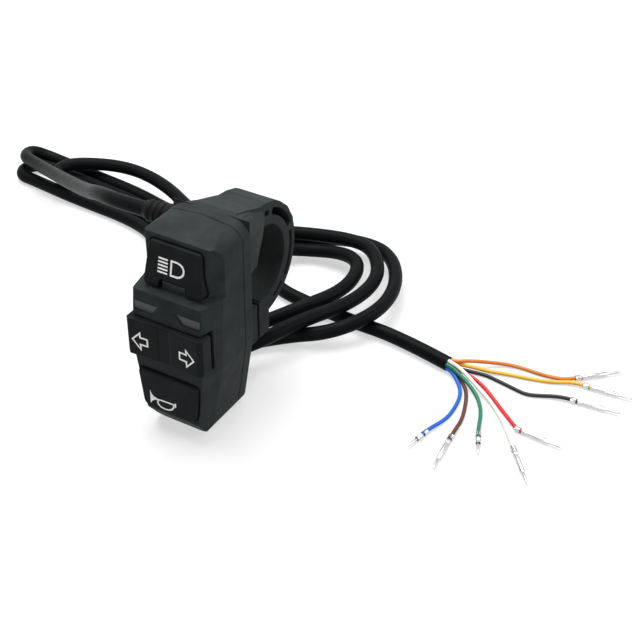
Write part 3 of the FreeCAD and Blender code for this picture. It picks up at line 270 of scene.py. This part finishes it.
# Distances from zero of the barrel's end and of the lance
BARREL_STATIONS = (0.9, 1.5, 1.6)
LANCE_STATIONS = (0.8, 0.0)
# Wings: angles that they wrap from and to in degrees, inner and outer radius
WINGS = (-258, 78, 0.6, 0.76)
WINGS_FLARED = (-250, 70, 0.66, 0.84)
# Flat strip between the two crimps, as an outline of (y, z)
STRIP = [(-0.32, -0.78), (0.32, -0.78), (0.4, -0.66), (0.3, -0.6), (-0.3, -0.6), (-0.4, -0.66)]
# Each lobe of the wire crimp: half width, half height, place across and up
LOBE = (0.46, 0.7, -0.24, -0.03)
# Width and height at a lobe's ends, as shares of its own
LOBE_END_WIDE, LOBE_END_HIGH = 0.92, 0.88
# Half width and half height of the neck, of the rolled barrel and of the barrel's closed end
NECK, BARREL, BARREL_END = (0.61, 0.6), (0.68, 0.64), (0.4, 0.4)
# The lance's outline at its foot and at its raised end
LANCE_FOOT = [(-0.12, 0.4), (0.12, 0.4), (0.12, 0.55), (-0.12, 0.55)]
LANCE_END = [(-0.14, 0.8), (0.14, 0.8), (0.14, 0.94), (-0.14, 0.94)]
# (x, radius) along the round pin
PIN = [(1.5, 0.34), (1.7, 0.4), (4.3, 0.38), (5.1, 0.3), (5.4, 0.2), (5.5, 0.08)]
# How finely the round outlines are divided
OVAL_POINTS, PIN_POINTS, WING_POINTS = 14, 18, 14


def wing_section(angle_from, angle_to, inner, outer):
    """A C-shaped section, open at the top, as an outline of (y, z)."""
    points = []
    for radius, order in ((outer, range(WING_POINTS + 1)), (inner, range(WING_POINTS, -1, -1))):
        for i in order:
            turn = math.radians(angle_from + (angle_to - angle_from) * i / WING_POINTS)
            points.append((radius * math.cos(turn), radius * math.sin(turn)))
    return points


def oval_section(half_wide, half_high, across=0.0, up=0.0):
    """An ellipse as an outline of (y, z)."""
    turns = [2 * math.pi * i / OVAL_POINTS for i in range(OVAL_POINTS)]
    return [(half_wide * math.cos(turn) + across, half_high * math.sin(turn) + up) for turn in turns]


def loft_sections(build, stations, outlines):
    """A closed solid through one outline at each station along x, in mm."""
    loft(build, [[Vector((x * MM, y * MM, z * MM)) for y, z in outline]
                 for x, outline in zip(stations, outlines)])


def add_wings(build, back):
    """The wings that hold the insulation, and the flat strip from them to the wire crimp."""
    wings, flared = wing_section(*WINGS), wing_section(*WINGS_FLARED)
    loft_sections(build, [along - back for along in WING_STATIONS], [flared, wings, wings, flared])
    loft_sections(build, [along - back for along in STRIP_STATIONS], [STRIP] * len(STRIP_STATIONS))


def add_wire_crimp(build, back):
    """Two lobes side by side, pressed together over the bare wire."""
    left = oval_section(*LOBE)
    right = [(-y, z) for y, z in reversed(left)]
    for lobe in (left, right):
        small = [(LOBE_END_WIDE * y, LOBE_END_HIGH * z) for y, z in lobe]
        loft_sections(build, [along - back for along in LOBE_STATIONS], [small, lobe, lobe, small])


def add_barrel(build, back):
    """The neck, the rolled barrel with its lance, and the pin."""
    neck, barrel, end = oval_section(*NECK), oval_section(*BARREL), oval_section(*BARREL_END)
    loft_sections(build, [along - back for along in NECK_STATIONS] + list(BARREL_STATIONS),
                  [neck, neck, barrel, barrel, end, end])
    loft_sections(build, LANCE_STATIONS, [LANCE_FOOT, LANCE_END])
    loft(build, [circle_ring(x * MM, radius * MM, PIN_POINTS) for x, radius in PIN])


def make_terminal(name, tip, way, back):
    """A stamped crimp pin at the tip of a wire's line, pointing the way that the line does.

    The tip is in metres, and back, which is how far the terminal reaches back over the wire, in mm.
    """
    build = bmesh.new()
    add_wings(build, back)
    add_wire_crimp(build, back)
    add_barrel(build, back)
    turn = Matrix.Rotation(math.atan2(way.y, way.x), 4, "Z")
    build.transform(Matrix.Translation(tip) @ turn)
    piece = link_mesh(name, build)
    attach(piece, "housing")
    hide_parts("crimp_terminals")
    return piece


# The cable and its wires

strain_relief = make_strain_relief()
jacket = cord_curve("cable_jacket", CABLE_ROUTE, CABLE_D)
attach(jacket, "housing")
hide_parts("cable_lead", "cable_coil", "cable_tail")

terminals, core_wires = [], {}
for colour, (length, back, points) in CORES.items():
    wire = cord_curve("core_" + colour, points, CORE_D)
    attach(wire, "housing")
    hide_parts("wire_" + colour)
    tip = Vector(points[-1]) * MM
    way = Vector(points[-1]) - Vector(points[-2])
    terminal = make_terminal("terminal_" + colour, tip, way, back)
    terminals.append(terminal)
    core_wires[colour] = wire


# Materials

# Lengths are in metres and noise scales per metre. Most of a noise's values lie in this range.
NOISE_RANGE = (0.3, 0.7)


class Nodes:
    """A short way to write a node tree."""

    def __init__(self, owner):
        owner.use_nodes = True
        self.tree = owner.node_tree
        self.tree.nodes.clear()

    def add(self, kind, values=None, **settings):
        """A node with its settings; each value is a number or colour, or the socket that feeds the input."""
        node = self.tree.nodes.new("ShaderNode" + kind)
        for key, value in settings.items():
            setattr(node, key, value)
        for key, value in (values or {}).items():
            if isinstance(value, bpy.types.NodeSocket):
                self.tree.links.new(value, node.inputs[key])
            else:
                node.inputs[key].default_value = value
        return node

    def combine(self, operation, first, second):
        return self.add("Math", {0: first, 1: second}, operation=operation).outputs[0]

    def noise(self, scale, detail=2.0, rough=0.5, stretch=None):
        place = self.add("TexCoord").outputs["Object"]
        if stretch:
            place = self.add("Mapping", {"Vector": place, "Scale": stretch}).outputs["Vector"]
        return self.add("TexNoise", {"Vector": place, "Scale": scale, "Detail": detail,
                                     "Roughness": rough}).outputs["Fac"]

    def spread(self, value, source, target):
        """A value carried over from one range to another."""
        return self.add("MapRange", {"Value": value, "From Min": source[0], "From Max": source[1],
                                     "To Min": target[0], "To Max": target[1]}).outputs["Result"]

    def shades(self, noise, dark, light):
        """A colour that wanders between two shades as a noise does."""
        node = self.add("ValToRGB", {"Fac": noise})
        for element, place, colour in zip(node.color_ramp.elements, NOISE_RANGE, (dark, light)):
            element.position = place
            element.color = (*colour, 1.0)
        return node.outputs["Color"]

    def bump(self, height, strength, distance, **inputs):
        return self.add("Bump", {"Height": height, "Strength": strength, "Distance": distance,
                                 **inputs}).outputs["Normal"]

    def seen_rays(self):
        """1 for a ray from the camera, off gloss or through clear plastic, and 0 for one that only lights."""
        rays = self.add("LightPath").outputs
        seen = self.combine("MAXIMUM", rays["Is Camera Ray"], rays["Is Glossy Ray"])
        return self.combine("MAXIMUM", seen, rays["Is Transmission Ray"])

    def surface(self, **values):
        """The shader of a finished material, with inputs named in plain words."""
        names = {"colour": "Base Color", "rough": "Roughness", "normal": "Normal", "metallic": "Metallic",
                 "specular": "Specular IOR Level", "ior": "IOR", "transmission": "Transmission Weight"}
        shader = self.add("BsdfPrincipled", {names[key]: value for key, value in values.items()})
        self.add("OutputMaterial", {"Surface": shader.outputs["BSDF"]})


def scaled(colour, factor):
    return tuple(min(1.0, c * factor) for c in colour)


def moulded(name, colour, rough=(0.5, 0.62), grain=0.12, grain_size=0.00022, soft_edge=0.0, specular=0.5,
            vary=0.18):
    """Moulded plastic or rubber: cloudy colour, a fine eroded grain, uneven gloss and softened edges."""
    material = bpy.data.materials.new(name)
    n = Nodes(material)
    cloud = n.noise(scale=180.0, detail=3.0, rough=0.55)
    shade = n.shades(cloud, scaled(colour, 1 - vary), scaled(colour, 1 + vary))
    gloss = n.spread(n.noise(scale=420.0, detail=4.0, rough=0.6), NOISE_RANGE, rough)
    fine = n.noise(scale=1.0 / grain_size, detail=3.0, rough=0.65)
    under = {}
    if soft_edge:
        under["Normal"] = n.add("Bevel", {"Radius": soft_edge}, samples=6).outputs["Normal"]
    bump = n.bump(fine, strength=grain, distance=0.00006, **under)
    n.surface(colour=shade, rough=gloss, normal=bump, specular=specular)
    return material


def metal(name, colour, rough, scratch):
    """Plated steel or tin: fine drawn lines, a little dulling and a soft bump."""
    material = bpy.data.materials.new(name)
    n = Nodes(material)
    dull = n.noise(scale=900.0, detail=4.0, rough=0.6)
    lines = n.noise(scale=2600.0, detail=3.0, rough=0.6, stretch=scratch)
    n.surface(colour=n.shades(dull, scaled(colour, 0.82), colour), rough=n.spread(dull, NOISE_RANGE, rough),
              normal=n.bump(lines, strength=0.15, distance=0.00003), metallic=1.0)
    return material


def clear(name, colour, transmission, rough):
    """Tinted clear plastic with a slight haze and faint flow marks."""
    material = bpy.data.materials.new(name)
    n = Nodes(material)
    flow = n.noise(scale=260.0, detail=3.0, stretch=(1.0, 1.0, 2.6))
    gloss = n.spread(flow, NOISE_RANGE, (rough * 0.8, rough * 1.3))
    n.surface(colour=n.shades(flow, scaled(colour, 0.88), scaled(colour, 1.1)), rough=gloss,
              normal=n.bump(n.noise(scale=5200.0), strength=0.06, distance=0.00004), ior=1.49,
              transmission=transmission)
    return material


def laminate(name):
    """Green board with a regular layer of copper tracks under the lacquer."""
    material = bpy.data.materials.new(name)
    n = Nodes(material)
    place = n.add("TexCoord").outputs["Object"]
    upright = n.add("Mapping", {"Vector": place, "Rotation": (math.pi / 2, 0, 0)}).outputs["Vector"]
    tracks = n.add("TexBrick", {"Vector": upright, "Scale": 420.0, "Mortar Size": 0.02,
                                "Color1": (0.02, 0.16, 0.07, 1), "Color2": (0.03, 0.2, 0.09, 1),
                                "Mortar": (0.08, 0.34, 0.16, 1)}).outputs["Color"]
    n.surface(colour=tracks, rough=n.spread(n.noise(scale=700.0), NOISE_RANGE, (0.28, 0.42)),
              normal=n.bump(n.noise(scale=2400.0), strength=0.1, distance=0.00005))
    return material


MATERIALS = {
    "housing_plastic": moulded("housing_plastic", (0.025, 0.0285, 0.029), rough=(0.5, 0.6), grain=0.1,
                               grain_size=0.0002, soft_edge=0.0005, specular=0.04),
    "button_plastic": moulded("button_plastic", (0.0115, 0.0126, 0.0133), rough=(0.45, 0.55), grain=0.1,
                              grain_size=0.00018, soft_edge=0.0003, specular=0.04),
    "window_clear": clear("window_clear", (0.026, 0.027, 0.029), transmission=0.15, rough=0.4),
    "window_smoke": clear("window_smoke", (0.03, 0.03, 0.034), transmission=0.1, rough=0.4),
    "steel": metal("steel", (0.58, 0.58, 0.6), rough=(0.22, 0.38), scratch=(0.3, 1.0, 0.3)),
    "board_laminate": laminate("board_laminate"),
    "switch_plastic": moulded("switch_plastic", (0.03, 0.03, 0.03)),
    "plunger_plastic": moulded("plunger_plastic", (0.62, 0.61, 0.57), vary=0.06),
    "led_resin": clear("led_resin", (0.75, 0.72, 0.5), transmission=0.35, rough=0.2),
    "gland_rubber": moulded("gland_rubber", (0.005, 0.005, 0.0053), grain_size=0.00025, specular=0.08),
    "jacket": moulded("jacket", (0.004, 0.0046, 0.005), rough=(0.38, 0.46), grain=0.03, grain_size=0.0006,
                      specular=0.035),
    "tin": metal("tin", (0.62, 0.62, 0.64), rough=(0.2, 0.34), scratch=(0.4, 0.4, 1.0)),
}
INSULATION = {
    "orange": (0.62, 0.19, 0.03), "yellow": (0.83, 0.47, 0.05), "black": (0.004, 0.004, 0.0045),
    "red": (0.65, 0.02, 0.025), "white": (0.78, 0.77, 0.72), "green": (0.01, 0.17, 0.09),
    "brown": (0.11, 0.03, 0.02), "blue": (0.004, 0.11, 0.55),
}
for colour, shade in INSULATION.items():
    name = "insulation_" + colour
    MATERIALS[name] = moulded(name, shade, rough=(0.3, 0.42), grain=0.05, grain_size=0.0004, specular=0.3,
                              vary=0.08)

print_ink = moulded("print_ink", (0.94, 0.94, 0.92), rough=(0.4, 0.55), grain=0.06, grain_size=0.0003,
                    specular=0.9, vary=0.03)


def set_material(thing, material):
    if thing.material_slots:
        for place in thing.material_slots:
            place.material = material
    else:
        thing.data.materials.append(material)


for part in frame["record"]["subparts"]:
    set_material(nodes[part["node"]], MATERIALS[part["material_slot"]])
set_material(jacket, MATERIALS["jacket"])
set_material(strain_relief, MATERIALS["gland_rubber"])
for colour, wire in core_wires.items():
    set_material(wire, MATERIALS["insulation_" + colour])
for terminal in terminals:
    set_material(terminal, MATERIALS["tin"])


# Printed signs

# Each is drawn in x and z in mm, as seen from the front, and laid over its button's face.

# How far the ink stands over the face, and how far it reaches into it so that no gap shows
PROUD, SUNK = 0.035, 0.06
# Least squared length of a corner's mean normal, which keeps a mitre within 2.5 times its line's offset
LEAST_MITRE = 0.16
# Headlight button's face: z of its lower edge, its height, and how far its lower and upper edge stand
# before the parting plane
LAMP_LOW_Z, LAMP_TALL, LAMP_LOW_DEPTH, LAMP_TOP_DEPTH = 41.9, 13.9, 14.6, 11.8
# Rocker's wings: x at which the slope starts and ends, how far its start stands before the parting plane,
# and how much further its end does
WING_INNER, WING_OUTER, WING_DEPTH, WING_RISE = 2.2, 10.2, 19.1, 0.5
# How far the horn button's flat face stands before the parting plane
HORN_DEPTH = 18.7


def lamp_face(x, z, proud):
    """A point over the slanting face of the headlight button, in metres."""
    y = PART_Y - LAMP_LOW_DEPTH + (z - LAMP_LOW_Z) * (LAMP_LOW_DEPTH - LAMP_TOP_DEPTH) / LAMP_TALL
    return Vector((x, y - proud, z)) * MM


def rocker_face(x, z, proud):
    """A point over a rocker wing, which dips towards the middle, in metres."""
    share = (min(max(abs(x), WING_INNER), WING_OUTER) - WING_INNER) / (WING_OUTER - WING_INNER)
    return Vector((x, PART_Y - WING_DEPTH - WING_RISE * share - proud, z)) * MM


def horn_face(x, z, proud):
    """A point over the flat face of the horn button, in metres."""
    return Vector((x, PART_Y - HORN_DEPTH - proud, z)) * MM


def plate(build, outline, face):
    """A printed patch over a face."""
    top = [build.verts.new(face(x, z, PROUD)) for x, z in outline]
    low = [build.verts.new(face(x, z, -SUNK)) for x, z in outline]
    build.faces.new(top)
    build.faces.new(low[::-1])
    band(build, low, top)


def offset_line(points, shift, closed):
    """An outline moved sideways, with mitred corners that stay short where they are sharp."""
    count = len(points)
    moved = []
    for i, (x, z) in enumerate(points):
        sides = []
        for a, b in ((i - 1, i), (i, i + 1)):
            if closed or 0 <= a and b < count:
                (x0, z0), (x1, z1) = points[a % count], points[b % count]
                reach = math.hypot(x1 - x0, z1 - z0)
                sides.append(Vector(((z1 - z0) / reach, (x0 - x1) / reach)))
        middle = sum(sides, Vector((0.0, 0.0))) / len(sides)
        middle = middle / max(middle.length_squared, LEAST_MITRE)
        moved.append((x + middle.x * shift, z + middle.y * shift))
    return moved


def stroke(build, points, width, face, closed=False):
    """A printed line of even width."""
    left, right = offset_line(points, width / 2, closed), offset_line(points, -width / 2, closed)
    rows = []
    for (xl, zl), (xr, zr) in zip(left, right):
        rows.append([build.verts.new(face(x, z, lift)) for x, z, lift in
                     ((xl, zl, PROUD), (xr, zr, PROUD), (xr, zr, -SUNK), (xl, zl, -SUNK))])
    following = rows[1:] + rows[:1] if closed else rows[1:]
    for first, second in zip(rows, following):
        band(build, first, second)
    if not closed:
        build.faces.new(rows[0])
        build.faces.new(rows[-1][::-1])


def arc(middle_x, middle_z, radius_x, radius_z, start, end, count):
    """Points along a part of an ellipse, between two angles in degrees."""
    turns = [math.radians(start + (end - start) * i / count) for i in range(count + 1)]
    return [(middle_x + radius_x * math.cos(turn), middle_z + radius_z * math.sin(turn)) for turn in turns]


def make_print(name, body, draw):
    build = bmesh.new()
    draw(build)
    piece = link_mesh(name, build, smooth_angle=20)
    set_material(piece, print_ink)
    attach(piece, body)
    return piece


# Headlight sign: five rays, which lengthen a little downwards, and the lamp's D-shaped outline
RAY_COUNT, RAY_TOP_Z, RAY_PITCH, RAY_LONGER = 5, 50.98, 0.9, 0.02
RAY_LEFT, RAY_RIGHT, RAY_WIDTH = -4.5, -1.66, 0.42
LAMP_OUTLINE = [(-0.62, 47.35), (-0.62, 51.1)] + arc(0.9, 49.22, 2.2, 1.88, 90, -90, 14)
LAMP_WIDTH = 0.5
# Arrow to the right: tip, upper half, tail and lower half
ARROW_OUTLINE = [(9.3, 28.8), (7.0, 31.2), (7.0, 29.85), (4.9, 29.85), (4.9, 27.75), (7.0, 27.75),
                 (7.0, 26.2)]
ARROW_WIDTH = 0.46
# Bugle: bell, straight tube, the loop of tube under it and the mouthpiece
BELL_OUTLINE = [(-5.8, 13.3), (-5.4, 12.2), (-4.7, 11.5), (-3.5, 11.22), (-3.5, 10.78), (-4.5, 10.45),
                (-5.2, 9.95), (-5.85, 8.9)]
TUBE_LINE = [(-3.5, 11.0), (-2.1, 11.15), (-0.15, 11.2), (1.88, 11.28)]
LOOP_LINE = [(-3.3, 10.72), (-3.6, 10.1), (-3.3, 9.35), (-2.5, 8.85), (-1.3, 8.65), (-0.1, 8.85), (0.85, 9.4),
             (1.4, 10.1), (1.6, 10.98)]
MOUTH_LINE = [(2.1, 11.9), (2.05, 10.5)]
TUBE_WIDTH, MOUTH_WIDTH = 0.44, 0.42


def draw_beam(build):
    for i in range(RAY_COUNT):
        z = RAY_TOP_Z - i * RAY_PITCH
        stroke(build, [(RAY_LEFT - RAY_LONGER * i, z), (RAY_RIGHT, z)], RAY_WIDTH, lamp_face)
    stroke(build, LAMP_OUTLINE, LAMP_WIDTH, lamp_face, closed=True)


def draw_arrow(build, side):
    """An arrow to the right with side 1, or its mirror image to the left with side -1."""
    stroke(build, [(side * x, z) for x, z in ARROW_OUTLINE], ARROW_WIDTH, rocker_face, closed=True)


def draw_horn(build):
    plate(build, BELL_OUTLINE, horn_face)
    stroke(build, TUBE_LINE, TUBE_WIDTH, horn_face)
    stroke(build, LOOP_LINE, TUBE_WIDTH, horn_face)
    stroke(build, MOUTH_LINE, MOUTH_WIDTH, horn_face)


make_print("print_beam", "headlight", draw_beam)
make_print("print_arrow_left", "rocker", lambda build: draw_arrow(build, -1))
make_print("print_arrow_right", "rocker", lambda build: draw_arrow(build, 1))
make_print("print_horn", "horn", draw_horn)


# Stage and light

# Lengths are in metres
FLOOR_HALF = 3
# How much of the floor's look is plain white, which takes no shadow: the least and the most, and the
# distances from the frame's zero between which it rises
GLOW_SHARES, GLOW_DISTANCES = (0.55, 1.0), (0.3, 0.8)
# Greys of the floor: two shades where it is seen, and what it throws back on the object
FLOOR_DARK, FLOOR_LIGHT, FLOOR_BOUNCE = (0.90, 0.90, 0.90), (0.92, 0.92, 0.92), (0.35, 0.35, 0.35, 1)
# The world's strength as light, and where it is seen
WORLD_LIGHT, WORLD_SEEN = 0.2, 1.0
WHITE = (1, 1, 1, 1)
# Lamps: name, place, what it points at, size, power in watts
SOFTBOXES = [
    ("softbox_top", (-0.2, 0.15, 0.8), (-0.01, 0.02, 0.02), (0.7, 0.7), 10.5),
    ("softbox_front", (0.3, -0.75, 0.5), (0.0, 0.0, 0.03), (0.4, 0.4), 2.2),
    ("softbox_right", (0.65, 0.25, 0.4), (0.0, 0.0, 0.03), (0.4, 0.5), 2.2),
]


def make_floor():
    build = bmesh.new()
    build.faces.new([build.verts.new((x * FLOOR_HALF, y * FLOOR_HALF, 0.0))
                     for x, y in ((-1, -1), (1, -1), (1, 1), (-1, 1))])
    floor = link_mesh("floor", build)
    material = bpy.data.materials.new("floor")
    n = Nodes(material)
    seen = n.seen_rays()
    away = n.add("VectorMath", {0: n.add("TexCoord").outputs["Object"]}, operation="LENGTH").outputs["Value"]
    glow = n.combine("MULTIPLY", seen, n.spread(away, GLOW_DISTANCES, GLOW_SHARES))
    shade = n.shades(n.noise(scale=40.0, detail=3.0), FLOOR_DARK, FLOOR_LIGHT)
    colour = n.add("MixRGB", {"Fac": seen, "Color1": FLOOR_BOUNCE, "Color2": shade}).outputs["Color"]
    matte = n.add("BsdfDiffuse", {"Color": colour}).outputs[0]
    white = n.add("Emission", {"Color": WHITE, "Strength": 1.0}).outputs[0]
    mixed = n.add("MixShader", {0: glow, 1: matte, 2: white}).outputs[0]
    n.add("OutputMaterial", {"Surface": mixed})
    set_material(floor, material)


def make_world():
    world = bpy.data.worlds.new("studio")
    scene.world = world
    n = Nodes(world)
    dim, bright = (n.add("Background", {"Color": WHITE, "Strength": strength}).outputs[0]
                   for strength in (WORLD_LIGHT, WORLD_SEEN))
    mixed = n.add("MixShader", {0: n.seen_rays(), 1: dim, 2: bright}).outputs[0]
    n.add("OutputWorld", {"Surface": mixed})


def area_light(name, place, target, size, power):
    data = bpy.data.lights.new(name, "AREA")
    data.shape = "RECTANGLE"
    data.size, data.size_y = size
    data.energy = power
    lamp = add_object(name, data)
    lamp.location = place
    lamp.rotation_mode = "QUATERNION"
    lamp.rotation_quaternion = (Vector(target) - Vector(place)).to_track_quat("-Z", "Y")


make_floor()
make_world()
for softbox in SOFTBOXES:
    area_light(*softbox)

scene.view_settings.view_transform = "Standard"
